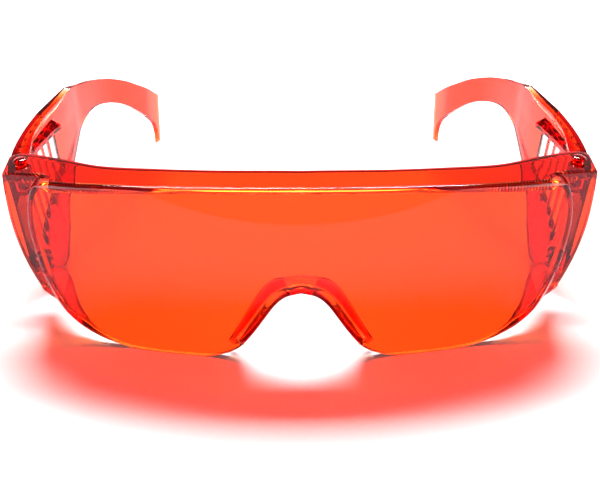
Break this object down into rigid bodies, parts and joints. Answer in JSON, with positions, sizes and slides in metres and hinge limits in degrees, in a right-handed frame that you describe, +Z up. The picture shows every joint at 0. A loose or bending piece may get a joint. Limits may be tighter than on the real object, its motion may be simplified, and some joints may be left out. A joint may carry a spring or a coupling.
{
  "type": "safety glasses",
  "caption": "Tinted clear over-the-glasses safety spectacles: wrap-around lens with brow ledge and side wings, and folding vented side-shield temples.",
  "frame": {"origin": "on the resting surface, under the middle of the open glasses' bounding box", "axes": "+X to the right seen from in front of the lens; +Y from the lens back along the temples; +Z up as they stand open on a table"},
  "size_m": [0.1646, 0.1512, 0.0514],
  "materials": {
    "front_polycarbonate": "clear orange-red tinted polycarbonate, polished mould finish",
    "temple_polycarbonate": "clear orange-red tinted polycarbonate, polished mould finish",
    "pin_plastic": "red tinted plastic, smooth moulded"
  },
  "bodies": {
    "front": {"front_shield": "front_polycarbonate", "hinge_pin_left": "pin_plastic", "hinge_pin_right": "pin_plastic", "pivot_pin_left": "pin_plastic", "pivot_pin_right": "pin_plastic"},
    "temple_left": {"temple_left": "temple_polycarbonate"},
    "temple_right": {"temple_right": "temple_polycarbonate"}
  },
  "joints": [
    {"name": "temple_left_fold", "type": "hinge", "parent": "front", "child": "temple_left", "pos_m": [-0.0724, -0.04585, 0.0121], "axis": [0.1389, 0, -0.9903], "range_deg": [0, 84]},
    {"name": "temple_right_fold", "type": "hinge", "parent": "front", "child": "temple_right", "pos_m": [0.0724, -0.04585, 0.0121], "axis": [0.1389, 0, 0.9903], "range_deg": [0, 70]}
  ]
}
